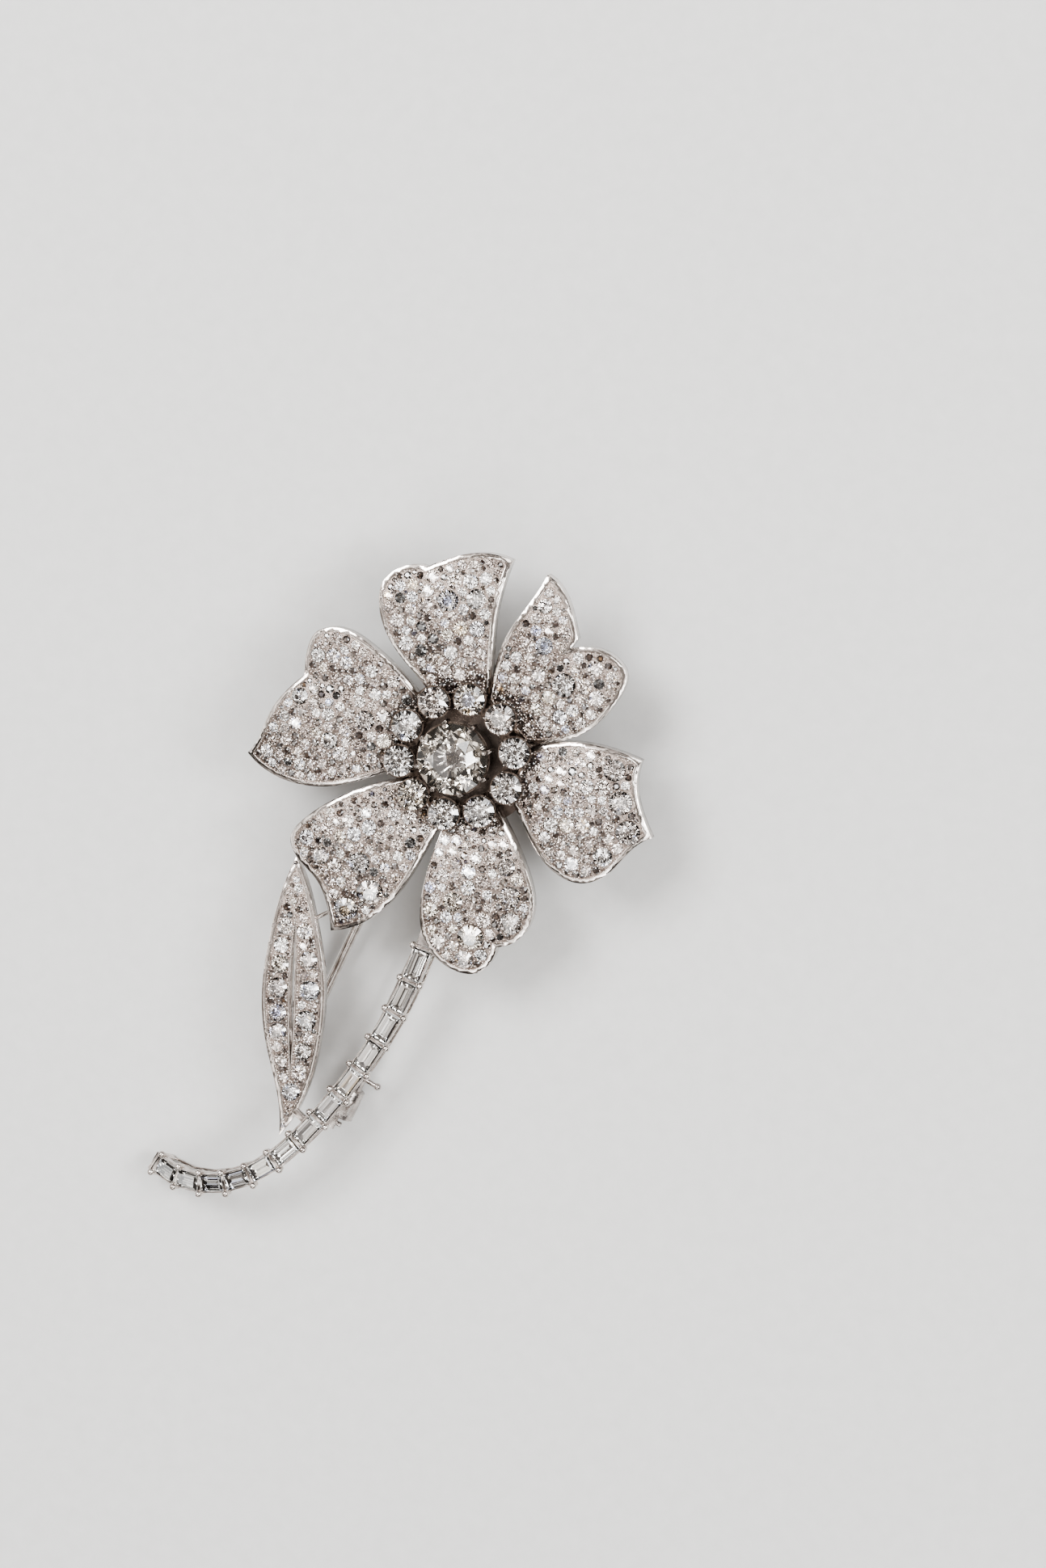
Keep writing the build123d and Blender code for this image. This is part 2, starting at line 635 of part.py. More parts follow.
def make_leaf(blanks, frames):
    """The leaf: an arched drilled blade with an outer rim, a rail round its slit, and its stones."""
    domes = [(*LEAF_DOME, LEAF_DOME_RADIUS)]
    curves = [Spline(*LEAF_LEFT), Spline(*reversed(LEAF_RIGHT))]
    outline = make_face(curves)
    field = make_face(inset_curves(curves, RIM_WIDE))
    slit = slit_shape(SLIT_HALF, 0)
    slit_edge = slit_shape(SLIT_HALF + SLIT_RAIL, SLIT_RAIL_LONGER)
    blade = (field - slit_edge).faces()[0]
    plate = domed(blade, domes, 0, LEAF_THICK)
    parts["leaf_rim"] = domed(outline - field, domes, RIM_PROUD, LEAF_RIM_DEEP)
    parts["leaf_slit_rail"] = domed(slit_edge - slit, domes, RIM_PROUD, LEAF_RIM_DEEP)
    tip = Pos(0, LEAF_TIP_END + COLUMN_TALL, 0) * Rectangle(100, 2 * COLUMN_TALL)
    stones = lay_stones(blade & tip, domes, [], [], LEAF_TIP_MIX, 11)
    stones += lay_stones(blade - tip, domes, [], [], LEAF_MIX, 11)
    parts["leaf_plate"], parts["leaf_stones"] = set_stones(plate, domes, stones)
    strut_start = Plane(STRUT[0], z_dir=Vector(*STRUT[1]) - Vector(*STRUT[0]))
    strut = sweep(strut_start * Circle(STRUT_RADIUS), Spline(*STRUT))
    blade_blank = domed(outline, domes, RIM_PROUD, LEAF_RIM_DEEP)
    parts["leaf_strut"] = strut - [blade_blank, blanks["petal_6"], parts["petal_6_rim"]]
    near_side = RAIL_SIDE + RAIL_WIDE / 2
    link = Pos(near_side + LINK_LONG / 2, LINK_ALONG, LINK_DEPTH) * Box(LINK_LONG, LINK_WIDE, LINK_WIDE)
    stem_solid = rail_through(frames, 0, 2 * near_side, UNDER_LOW, RAIL_TOP)
    parts["leaf_link"] = frames[LINK_BAR] * link - [blade_blank, stem_solid]


# ---------------------------------------------------------------- back
PIN_FRAME = Plane(HINGE_AT, x_dir=PIN_LINE, z_dir=(0, 0, 1))


def in_pin_frame(shape):
    """A shape drawn with x along the prongs, y to the right-hand prong's side, and z to the front."""
    return PIN_FRAME * shape


def rod(radius, start, end):
    """A round rod between two points."""
    run = Vector(*end) - Vector(*start)
    middle = (Vector(*end) + Vector(*start)) * 0.5
    return Plane(middle, z_dir=run) * Cylinder(radius, run.length)


def make_hinge():
    """The hinge plate with its two lugs, and the rivet through them."""
    plate_low = HINGE_PLATE - HINGE_AT[2]
    plate_top = HUB_LOW - HINGE_AT[2]
    width = 2 * (LUG_IN + LUG_WIDE)
    base = Pos(0, 0, (plate_low + plate_top) / 2) * Box(2 * LUG_HALF, width, plate_top - plate_low)
    for side in (-1, 1):
        tall = plate_low + HINGE_AT[2]
        lug_at = Pos(0, side * (LUG_IN + LUG_WIDE / 2), tall / 2 - HINGE_AT[2])
        lug = lug_at * Box(2 * LUG_HALF, LUG_WIDE, tall)
        base = base + lug
    half = LUG_IN + LUG_WIDE
    rivet = rod(RIVET_RADIUS, (0, -half, 0), (0, half, 0))
    base = base - rivet
    for side in (-1, 1):
        rivet = rivet + rod(2 * RIVET_RADIUS, (0, side * half, 0), (0, side * (half + RIVET_HEAD), 0))
    parts["hinge_base"] = in_pin_frame(base)
    parts["hinge_rivet"] = in_pin_frame(rivet)


def make_pin():
    """The moving pin: a barrel on the rivet, a cross bar, and two pointed prongs."""
    bore = RIVET_RADIUS + RIVET_PLAY
    half = LUG_IN - BARREL_PLAY
    barrel = rod(BARREL_RADIUS, (0, -half, 0), (0, half, 0))
    tongue_at = Pos((CROSSBAR_NEAR + TONGUE_NEAR) / 2, 0, 0)
    tongue = tongue_at * Box(CROSSBAR_NEAR - TONGUE_NEAR, TONGUE_WIDE, TONGUE_THICK)
    hole = rod(bore, (0, -half, 0), (0, half, 0))
    parts["pin_barrel"] = in_pin_frame(barrel + tongue - hole)
    middle = CROSSBAR_NEAR + CROSSBAR_SECTION / 2
    bar = Pos(middle, 0, 0) * Box(CROSSBAR_SECTION, 2 * PRONG_SIDE + CROSSBAR_SECTION, CROSSBAR_SECTION)
    parts["pin_crossbar"] = in_pin_frame(fillet(bar.edges().filter_by(Axis.Z), CROSSBAR_ROUND))
    start = CROSSBAR_NEAR + CROSSBAR_SECTION
    for name, side, reach in (("pin_prong_left", -1, LEFT_REACH), ("pin_prong_right", 1, RIGHT_REACH)):
        profile = Polyline(
            (start, 0, 0), (start, PRONG_RADIUS, 0), (reach - PRONG_POINT, PRONG_RADIUS, 0),
            (reach - PRONG_TIP[0], PRONG_TIP[1], 0), (reach, 0, 0), close=True,
        )
        prong = revolve(make_face(profile), Axis.X)
        parts[name] = in_pin_frame(Pos(0, side * PRONG_SIDE, 0) * prong)


def c_tube(radius, bore, mouth, near, far):
    """A tube along the prong with a mouth along its underside, which the prong passes through."""
    tube = rod(radius, (near, 0, 0), (far, 0, 0)) - rod(bore, (near - 1, 0, 0), (far + 1, 0, 0))
    gap = Pos((near + far) / 2, 0, -radius) * Box(far - near + 2, mouth, 2 * radius)
    return tube - gap


def make_catch(label, side, reach, holder):
    """One safety catch: a fixed housing, the turning rotor inside it, its lever, and the post above."""
    far = reach - HOUSING_BACK
    near = far - HOUSING_LONG
    housing = c_tube(HOUSING_RADIUS, HOUSING_BORE, HOUSING_MOUTH, near, far)
    stop = reach + STOP_AWAY
    arm = Pos(far + STOP_AWAY, 0, HOUSING_RADIUS - STOP_ARM[2] / 2) * Box(*STOP_ARM)
    drop = Pos(stop, 0, (HOUSING_RADIUS - STOP_ARM[2] / 2) / 2) * Box(*STOP_DROP)
    rest = rod(STOP_RADIUS, (stop, -STOP_HALF, 0), (stop, STOP_HALF, 0))
    place = Pos(0, side * PRONG_SIDE, 0)
    clear = rod(HOUSING_BORE, (near, 0, 0), (far, 0, 0))
    tube = housing + ((arm + drop + rest) - clear)
    rotor_start = near - ROTOR_OUT
    rotor = c_tube(ROTOR_RADIUS, ROTOR_BORE, ROTOR_MOUTH, rotor_start, far - ROTOR_INSIDE)
    lean = math.radians(LEVER_ANGLE)
    lever_x = rotor_start + LEVER_SETBACK
    tip = (lever_x, -math.cos(lean) * LEVER_REACH, math.sin(lean) * LEVER_REACH)
    foot = (lever_x, tip[1] * LEVER_FOOT, tip[2] * LEVER_FOOT)
    lever = rod(LEVER_RADIUS, foot, tip) + Pos(*tip) * Sphere(KNOB_RADIUS)
    lever = lever - rod(ROTOR_RADIUS, (rotor_start, 0, 0), (near, 0, 0))
    if side > 0:
        lever = mirror(lever, Plane.XZ)
    body = rod(HOUSING_RADIUS, (near, 0, 0), (far, 0, 0))
    block = Pos((near + far) / 2, 0, POST_TALL / 2) * Box(holder[0], holder[1], POST_TALL)
    parts[label + "_catch_housing"] = in_pin_frame(place * tube)
    parts[label + "_catch_rotor"] = in_pin_frame(place * rotor)
    parts[label + "_catch_lever"] = in_pin_frame(place * lever)
    return in_pin_frame(place * (block - body))


def make_back(frames):
    """Everything behind the brooch: hinge, pin and both catches with their posts."""
    make_hinge()
    make_pin()
    right = make_catch("right", 1, RIGHT_REACH, RIGHT_POST)
    bed = rail_through(frames, 0, CATCH_BED[0], UNDER_LOW, CATCH_BED[1])
    parts["right_catch_post"] = right - bed
    left = make_catch("left", -1, LEFT_REACH, LEFT_POST)
    under_leaf = balls([(*LEAF_DOME, LEAF_DOME_RADIUS)], -LEAF_THICK)
    parts["left_catch_post"] = (left & under_leaf) - [parts["leaf_slit_rail"], parts["leaf_rim"]]


petal_blanks = make_flower()
stem_frames = make_stem()
make_leaf(petal_blanks, stem_frames)
make_back(stem_frames)

whole = Compound(list(parts.values())).bounding_box()
shift = Vector(-whole.center().X, -whole.center().Y, -whole.min.Z)
print("shift", [round(v, 4) for v in shift], "size", [round(v, 2) for v in whole.size])
os.makedirs("parts", exist_ok=True)
for name, shape in parts.items():
    export_step(Pos(*shift) * shape, "parts/" + name + ".step")
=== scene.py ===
import math

import bmesh
import bpy
import numpy as np
from mathutils import Matrix, Vector


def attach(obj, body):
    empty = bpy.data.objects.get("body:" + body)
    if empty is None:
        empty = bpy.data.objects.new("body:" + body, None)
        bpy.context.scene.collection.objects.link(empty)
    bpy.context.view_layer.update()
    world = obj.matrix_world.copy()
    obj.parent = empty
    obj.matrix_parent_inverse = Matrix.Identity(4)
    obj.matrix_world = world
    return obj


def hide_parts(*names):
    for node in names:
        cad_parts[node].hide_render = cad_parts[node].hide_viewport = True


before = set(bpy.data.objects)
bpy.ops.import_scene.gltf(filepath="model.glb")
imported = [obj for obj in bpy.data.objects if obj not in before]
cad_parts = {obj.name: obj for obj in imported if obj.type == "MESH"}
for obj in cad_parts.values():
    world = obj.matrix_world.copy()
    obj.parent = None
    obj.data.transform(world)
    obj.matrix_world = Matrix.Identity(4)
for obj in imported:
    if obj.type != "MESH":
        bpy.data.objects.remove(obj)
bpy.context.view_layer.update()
MM = 0.001

# ---------------------------------------------------------------- camera
# The brooch lies face up and is looked at from almost straight above, a little from the
# right of the flower and from above it, with a long lens.
RING_MIDDLE = Vector((8.45, 14.81, 12.48)) * MM
LOOK_FROM = Vector((0.193, 0.115, 0.974)).normalized()
LOOK_RIGHT = Vector((0.981, 0.0, -0.194)).normalized()
LOOK_UP = LOOK_FROM.cross(LOOK_RIGHT)
AIM_RIGHT = 7.3 * MM
AIM_DOWN = 3.0 * MM
CAMERA_AWAY = 600 * MM
VIEW_TALL = 174.6 * MM
SENSOR = 36.0
aim = RING_MIDDLE + LOOK_RIGHT * AIM_RIGHT - LOOK_UP * AIM_DOWN
camera = bpy.data.objects.new("camera", bpy.data.cameras.new("camera"))
bpy.context.scene.collection.objects.link(camera)
camera.matrix_world = (
    Matrix.Translation(aim + LOOK_FROM * CAMERA_AWAY)
    @ Matrix((LOOK_RIGHT, LOOK_UP, LOOK_FROM)).transposed().to_4x4()
)
camera.data.sensor_width = SENSOR
camera.data.lens = SENSOR * CAMERA_AWAY / VIEW_TALL
camera.data.clip_start = 10 * MM
bpy.context.scene.view_settings.look = "AgX - Medium High Contrast"
bpy.context.scene.camera = camera


# ---------------------------------------------------------------- polished rims
# Each petal and the leaf has a thin platinum rim, sawn with the plate and polished bright.
# Polishing rounds its edges over, so that they catch a line of light.
def paint_box(material):
    """The node tree of a new material, and its shader."""
    material.use_nodes = True
    tree = material.node_tree
    return tree, tree.nodes["Principled BSDF"]


def wire(tree, source, target):
    """Joins one socket of a shader or geometry tree to another."""
    tree.links.new(source, target)


def fine_noise(tree, size, detail=3.0, rough=0.6):
    """Noise whose patches are about one size across, in metres, fixed to the piece."""
    place = tree.nodes.new("ShaderNodeTexCoord")
    noise = tree.nodes.new("ShaderNodeTexNoise")
    noise.inputs["Scale"].default_value = 1 / size
    noise.inputs["Detail"].default_value = detail
    noise.inputs["Roughness"].default_value = rough
    wire(tree, place.outputs["Object"], noise.inputs["Vector"])
    return noise.outputs["Fac"]


def ramp(tree, source, stops, interpolation="LINEAR"):
    """Colours against a value, each stop a place from 0 to 1 and a colour."""
    node = tree.nodes.new("ShaderNodeValToRGB")
    node.color_ramp.interpolation = interpolation
    bar = node.color_ramp.elements
    while len(bar) < len(stops):
        bar.new(0.5)
    for stop, (place, colour) in zip(bar, stops):
        stop.position = place
        stop.color = (*colour, 1.0)
    wire(tree, source, node.inputs["Fac"])
    return node.outputs["Color"]


def grey(level):
    """A grey as a colour."""
    return (level, level, level)


def platinum(name, dark, light, rough_low, rough_high, patch, scratch, depth):
    """Worked platinum: patchy in tone, unevenly polished, with fine tool marks."""
    material = bpy.data.materials.new(name)
    tree, shader = paint_box(material)
    shader.inputs["Metallic"].default_value = 1.0
    clouds = fine_noise(tree, patch)
    wire(tree, ramp(tree, clouds, [(0.35, dark), (0.65, light)]), shader.inputs["Base Color"])
    marks = fine_noise(tree, scratch, 5.0, 0.7)
    rough = ramp(tree, marks, [(0.3, grey(rough_low)), (0.7, grey(rough_high))])
    wire(tree, rough, shader.inputs["Roughness"])
    bump = tree.nodes.new("ShaderNodeBump")
    bump.inputs["Strength"].default_value = 1.0
    bump.inputs["Distance"].default_value = depth
    wire(tree, marks, bump.inputs["Height"])
    wire(tree, bump.outputs["Normal"], shader.inputs["Normal"])
    return material


WELD = 0.001 * MM


def merged_copy(node):
    """A copy of a frame node's mesh with its loose triangles joined up."""
    work = bmesh.new()
    work.from_mesh(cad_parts[node].data)
    bmesh.ops.remove_doubles(work, verts=work.verts, dist=WELD)
    return work


def as_mesh(work, name):
    """A plain mesh of a finished piece of bmesh work, which is then let go."""
    mesh = bpy.data.meshes.new(name)
    work.to_mesh(mesh)
    work.free()
    return mesh


def new_piece(name, mesh, material):
    """An object for a finished mesh, at the origin, wearing one material."""
    mesh.name = name
    mesh.materials.clear()
    mesh.materials.append(material)
    piece = bpy.data.objects.new(name, mesh)
    bpy.context.scene.collection.objects.link(piece)
    return piece


def bake(piece):
    """The piece's mesh as its modifiers leave it, with the modifiers gone."""
    shown = piece.evaluated_get(bpy.context.evaluated_depsgraph_get())
    mesh = bpy.data.meshes.new_from_object(shown)
    piece.modifiers.clear()
    piece.data = mesh
    return piece


def polished(node, width, material, flat=0.1, corner=35.0):
    """A frame node with its hard edges rounded over by a width, as files and polish leave it."""
    work = merged_copy(node)
    bmesh.ops.dissolve_limit(
        work, angle_limit=math.radians(flat), verts=work.verts, edges=work.edges
    )
    mesh = as_mesh(work, node)
    piece = new_piece("polished_" + node, mesh, material)
    mesh.shade_smooth()
    edge = piece.modifiers.new("rounded edges", "BEVEL")
    edge.width = width
    edge.segments = 2
    edge.limit_method = "ANGLE"
    edge.angle_limit = math.radians(corner)
    edge.harden_normals = True
    bake(piece)
    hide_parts(node)
    return piece


rim_metal = platinum(
    "polished platinum rims", (0.56, 0.51, 0.475), (0.78, 0.73, 0.69), 0.09, 0.20,
    1.6 * MM, 0.12 * MM, 0.002 * MM,
)
RIM_EDGE = 0.05 * MM
for node in [f"petal_{i}_rim" for i in range(1, 7)] + ["leaf_rim", "leaf_slit_rail"]:
    rim = polished(node, RIM_EDGE, rim_metal)
    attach(rim, "brooch")


# ---------------------------------------------------------------- drilled plates
# The petals and the leaf are domed platinum plates, drilled through under every stone.
# Between the stones the metal is cut up with a graver, so that it looks rough, and it is painted
# dark brown: painted shade between and under the stones.
plate_metal_painted_shade = platinum(
    "cut-up platinum between stones", (0.13, 0.10, 0.085), (0.46, 0.39, 0.35), 0.22, 0.45,
    0.35 * MM, 0.09 * MM, 0.03 * MM,
)
for i in range(1, 7):
    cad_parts[f"petal_{i}_plate"].material_slots[0].material = plate_metal_painted_shade
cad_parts["leaf_plate"].material_slots[0].material = plate_metal_painted_shade


# ---------------------------------------------------------------- pave stones
# Old-cut and single-cut diamonds of mixed sizes, each dropped into its drilled seat with
# its table outwards. No two face quite the same way, which is what makes them sparkle.
def solids_in(work):
    """The vertices of each separate solid of a mesh."""
    left = set(work.verts)
    while left:
        found = [left.pop()]
        for vertex in found:
            for edge in vertex.link_edges:
                other = edge.other_vert(vertex)
                if other in left:
                    left.remove(other)
                    found.append(other)
        yield np.array([v.co for v in found])


GIRDLE_FROM = 0.97


def stone_seats(node):
    """Girdle centre, radius and outward direction of every round stone of a frame node."""
    work = merged_copy(node)
    seats = []
    for points in solids_in(work):
        middle = points.mean(0)
        axis = np.linalg.svd(points - middle, full_matrices=False)[2][2]
        axis = axis * np.sign(axis[2])
        out = points - middle
        flat = out - np.outer(out @ axis, axis)
        reach = np.linalg.norm(flat, axis=1)
        girdle = points[reach > GIRDLE_FROM * reach.max()].mean(0)
        seats.append((girdle, reach.max(), axis))
    work.free()
    return sorted(seats, key=lambda seat: tuple(seat[0]))


def ring(work, count, radius, height, first=0.0):
    """A ring of vertices, the first at an angle given in steps."""
    angles = [(first + i) * math.tau / count for i in range(count)]
    return [work.verts.new((radius * math.cos(a), radius * math.sin(a), height)) for a in angles]


def deal_facets(mesh, draw):
    """Gives every facet a number of its own, which its painted reflection or painted fire is
    dealt from.
    """
    facet = mesh.attributes.new("facet", "FLOAT", "FACE")
    facet.data.foreach_set("value", draw.random(len(mesh.polygons)).astype(np.float32))


STAR_RISE = 0.52
GIRDLE_HALF = 0.025
PAVILION_BELLY = 0.93


def cut_round(name, table, crown, star, pavilion, culet, waist):
    """A round stone of radius 1: table, stars, kites and halves above its girdle, culet below.

    A waist adds the old cut's second row of pavilion facets; 0 leaves the plain single cut.
    """
    work = bmesh.new()
    top = ring(work, 8, table, crown)
    stars = ring(work, 8, star, crown * STAR_RISE, 0.5)
    girdle = ring(work, 16, 1.0, GIRDLE_HALF)
    low = ring(work, 16, 1.0, -GIRDLE_HALF)
    faces = [top]
    for i in range(8):
        j = (i + 1) % 8
        g = 2 * i
        faces += [
            (top[i], stars[i], top[j]),
            (top[i], stars[i - 1], girdle[g], stars[i]),
            (stars[i], girdle[g], girdle[g + 1]),
            (stars[i], girdle[g + 1], girdle[(g + 2) % 16]),
        ]
    faces += [
        (girdle[i], low[i], low[(i + 1) % 16], girdle[(i + 1) % 16]) for i in range(16)
    ]
    tip = ring(work, 8, culet, -pavilion)
    if waist:
        waists = ring(work, 8, waist, -pavilion * (1 - waist) * PAVILION_BELLY, 0.5)
        for i in range(8):
            j = (i + 1) % 8
            g = 2 * i
            faces += [
                (low[g], waists[i - 1], tip[i], waists[i]),
                (low[g], waists[i], low[g + 1]),
                (low[g + 1], waists[i], low[(g + 2) % 16]),
                (waists[i], tip[i], tip[j]),
            ]
    else:
        for i in range(8):
            j = (i + 1) % 8
            g = 2 * i
            faces += [
                (low[g], tip[i], low[g + 1]),
                (low[g + 1], tip[i], tip[j]),
                (low[g + 1], tip[j], low[(g + 2) % 16]),
            ]
    faces.append(tip)
    for face in faces:
        work.faces.new(face)
    bmesh.ops.recalc_face_normals(work, faces=work.faces)
    mesh = as_mesh(work, name)
    deal_facets(mesh, np.random.default_rng(len(name)))
    return bpy.data.objects.new(name, mesh)


CLEAR_TINT = 0.55


def seat_points(name, seats, seed, lean, clear_from=0.8 * MM):
    """A cloud of points, one a stone, carrying its radius, direction, spin and tint.

    A tint near 0 is a dark, smoke-coloured stone and one near 1 a clear one. Stones that are
    larger than clear_from are all fairly clear.
    """
    draw = np.random.default_rng(seed)
    radii = np.array([radius for _, radius, _ in seats])
    tints = draw.random(len(seats))
    tints = np.where(radii >= clear_from, CLEAR_TINT + (1 - CLEAR_TINT) * tints, tints)
    cloud = bpy.data.meshes.new(name)
    cloud.from_pydata([tuple(place) for place, _, _ in seats], [], [])
    tilt = draw.normal(0, lean, (len(seats), 3))
    axes = np.array([axis for _, _, axis in seats]) + tilt
    for label, kind, values in (
        ("radius", "FLOAT", radii),
        ("spin", "FLOAT", draw.uniform(0, math.tau, len(seats))),
        ("tint", "FLOAT", tints),
        ("facing", "FLOAT_VECTOR", axes),
    ):
        layer = cloud.attributes.new(label, kind, "POINT")
        field = "vector" if kind == "FLOAT_VECTOR" else "value"
        layer.data.foreach_set(field, values.astype(np.float32).ravel())
    piece = bpy.data.objects.new(name, cloud)
    bpy.context.scene.collection.objects.link(piece)
    return piece


def tree_with(name, inputs):
    """A geometry tree with one geometry in, one out, and named inputs with their first values."""
    tree = bpy.data.node_groups.new(name, "GeometryNodeTree")
    tree.interface.new_socket("Geometry", in_out="INPUT", socket_type="NodeSocketGeometry")
    for label, kind, value in inputs:
        socket = tree.interface.new_socket(label, in_out="INPUT", socket_type=kind)
        if value is not None:
            socket.default_value = value
    tree.interface.new_socket("Geometry", in_out="OUTPUT", socket_type="NodeSocketGeometry")
    return tree, tree.nodes.new("NodeGroupInput"), tree.nodes.new("NodeGroupOutput")


def named(tree, label, kind="FLOAT"):
    """A named attribute's value inside a geometry tree."""
    node = tree.nodes.new("GeometryNodeInputNamedAttribute")
    node.data_type = kind
    node.inputs["Name"].default_value = label
    return node.outputs["Attribute"]


def math_node(tree, kind, a, b):
    """One step of arithmetic on two values, each a socket or a number."""
    node = tree.nodes.new("ShaderNodeMath")
    node.operation = kind
    for socket, value in zip(node.inputs, (a, b)):
        if isinstance(value, (int, float)):
            socket.default_value = value
        else:
            wire(tree, value, socket)
    return node.outputs[0]


def stone_setting_tree():
    """Sets a small or a large cut stone on every seat, turned to face out and spun at random."""
    tree, given, made = tree_with("set stones in their seats", [
        ("Small stone", "NodeSocketObject", None),
        ("Large stone", "NodeSocketObject", None),
        ("Large from", "NodeSocketFloat", 0.8 * MM),
        ("Diamond", "NodeSocketMaterial", None),
    ])
    face_out = tree.nodes.new("FunctionNodeAlignRotationToVector")
    face_out.axis = "Z"
    wire(tree, named(tree, "facing", "FLOAT_VECTOR"), face_out.inputs["Vector"])
    spin = tree.nodes.new("FunctionNodeAxisAngleToRotation")
    spin.inputs["Axis"].default_value = (0, 0, 1)
    wire(tree, named(tree, "spin"), spin.inputs["Angle"])
    turn = tree.nodes.new("FunctionNodeRotateRotation")
    turn.rotation_space = "LOCAL"
    wire(tree, face_out.outputs[0], turn.inputs[0])
    wire(tree, spin.outputs[0], turn.inputs[1])
    radius = named(tree, "radius")
    both = tree.nodes.new("GeometryNodeJoinGeometry")
    for label, test in (("Small stone", "LESS_THAN"), ("Large stone", "GREATER_EQUAL")):
        shape = tree.nodes.new("GeometryNodeObjectInfo")
        wire(tree, given.outputs[label], shape.inputs["Object"])
        size = tree.nodes.new("FunctionNodeCompare")
        size.operation = test
        wire(tree, radius, size.inputs["A"])
        wire(tree, given.outputs["Large from"], size.inputs["B"])
        place = tree.nodes.new("GeometryNodeInstanceOnPoints")
        wire(tree, given.outputs["Geometry"], place.inputs["Points"])
        wire(tree, size.outputs[0], place.inputs["Selection"])
        wire(tree, shape.outputs["Geometry"], place.inputs["Instance"])
        wire(tree, turn.outputs[0], place.inputs["Rotation"])
        wire(tree, radius, place.inputs["Scale"])
        wire(tree, place.outputs["Instances"], both.inputs[0])
    whole = tree.nodes.new("GeometryNodeRealizeInstances")
    wire(tree, both.outputs[0], whole.inputs["Geometry"])
    wear = tree.nodes.new("GeometryNodeSetMaterial")
    wire(tree, whole.outputs[0], wear.inputs["Geometry"])
    wire(tree, given.outputs["Diamond"], wear.inputs["Material"])
    wire(tree, wear.outputs[0], made.inputs["Geometry"])
    return tree


def run_tree(piece, tree, values, material):
    """The piece's mesh as a geometry tree makes it, with the tree's inputs set by name."""
    step = piece.modifiers.new(tree.name, "NODES")
    step.node_group = tree
    for socket in tree.interface.items_tree:
        if socket.in_out == "INPUT" and socket.name in values:
            step[socket.identifier] = values[socket.name]
    piece.data.update()
    bake(piece)
    piece.data.materials.clear()
    piece.data.materials.append(material)
    return piece


def diamond(name, body, painted_dim_facets, painted_dark_facets, clear):
    """Cut diamond: clear, sharp and strongly bending; some facets are painted dim or dark as
    painted reflections, and a few blue or orange as painted fire.
    """
    material = bpy.data.materials.new(name)
    tree, shader = paint_box(material)
    shader.inputs["Roughness"].default_value = 0.0
    shader.inputs["IOR"].default_value = 2.42
    shader.inputs["Transmission Weight"].default_value = clear
    facet = tree.nodes.new("ShaderNodeAttribute")
    facet.attribute_name = "facet"
    tint = tree.nodes.new("ShaderNodeAttribute")
    tint.attribute_name = "tint"
    pair = tree.nodes.new("ShaderNodeCombineXYZ")
    wire(tree, facet.outputs["Fac"], pair.inputs["X"])
    wire(tree, tint.outputs["Fac"], pair.inputs["Y"])
    deal = tree.nodes.new("ShaderNodeTexWhiteNoise")
    deal.noise_dimensions = "2D"
    wire(tree, pair.outputs[0], deal.inputs["Vector"])
    # Facet by facet: most keep the body colour, some get a painted dim or dark reflection, and a
    # few a painted blue or orange flash of fire.
    painted_facet_reflections = ramp(tree, deal.outputs["Value"], [
        (0.0, body), (0.45, painted_dim_facets), (0.60, body), (0.80, painted_dark_facets), (0.90, (0.48, 0.58, 1.0)),
        (0.93, (1.0, 0.72, 0.40)), (0.95, body),
    ], "CONSTANT")
    depth = ramp(tree, tint.outputs["Fac"], [
        (0.0, grey(0.08)), (0.045, (0.44, 0.38, 0.35)), (0.28, (0.66, 0.60, 0.56)),
        (0.50, (0.85, 0.80, 0.77)), (0.72, grey(1.0)), (0.90, (0.92, 0.95, 1.0)),
        (0.95, (1.0, 0.95, 0.86)),
    ], "CONSTANT")
    clouds = ramp(tree, fine_noise(tree, 0.5 * MM), [(0.4, grey(0.94)), (0.6, grey(1.0))])
    mix = painted_facet_reflections
    for layer in (depth, clouds):
        times = tree.nodes.new("ShaderNodeMix")
        times.data_type = "RGBA"
        times.blend_type = "MULTIPLY"
        times.inputs["Factor"].default_value = 1.0
        wire(tree, mix, times.inputs[6])
        wire(tree, layer, times.inputs[7])
        mix = times.outputs[2]
    wire(tree, mix, shader.inputs["Base Color"])
    return material


FACES_OUT = 0.5
BORDER_STEP = 0.1 * MM
BORDER_CLEAR = 0.02 * MM
TRIES = 5000


def plate_top(node, clear_of):
    """Points spread over a plate's outer face, their directions, and points along its edge."""
    work = merged_copy(node)
    bmesh.ops.triangulate(work, faces=work.faces)
    work.normal_update()
    tops = [face for face in work.faces if face.normal.z > FACES_OUT]
    corners = np.array([[v.co for v in face.verts] for face in tops])
    ways = np.array([face.normal for face in tops])
    areas = np.array([face.calc_area() for face in tops])
    border = []
    for edge in work.edges:
        sides = [face.normal.z > FACES_OUT for face in edge.link_faces]
        if len(sides) == 2 and sides[0] != sides[1]:
            a, b = (np.array(v.co) for v in edge.verts)
            steps = max(2, int(np.linalg.norm(b - a) / BORDER_STEP))
            border += [a + (b - a) * i / steps for i in range(steps)]
    work.free()
    border = np.array(border)
    middles = np.array([place for place, _, _ in clear_of])
    reach = np.array([radius for _, radius, _ in clear_of])
    gaps = np.linalg.norm(border[:, None] - middles[None], axis=2) - reach
    border = border[gaps.min(1) > BORDER_CLEAR]
    draw = np.random.default_rng(len(tops))
    chosen = draw.choice(len(tops), TRIES, p=areas / areas.sum())
    u, v = draw.random((2, TRIES, 1))
    over = u + v > 1
    u, v = np.where(over, 1 - u, u), np.where(over, 1 - v, v)
    a, b, c = corners[chosen, 0], corners[chosen, 1], corners[chosen, 2]
    return a + (b - a) * u + (c - a) * v, ways[chosen], border


SEED_LARGE = 0.46 * MM
SEED_SMALL = 0.23 * MM
SEED_GAP = 0.04 * MM


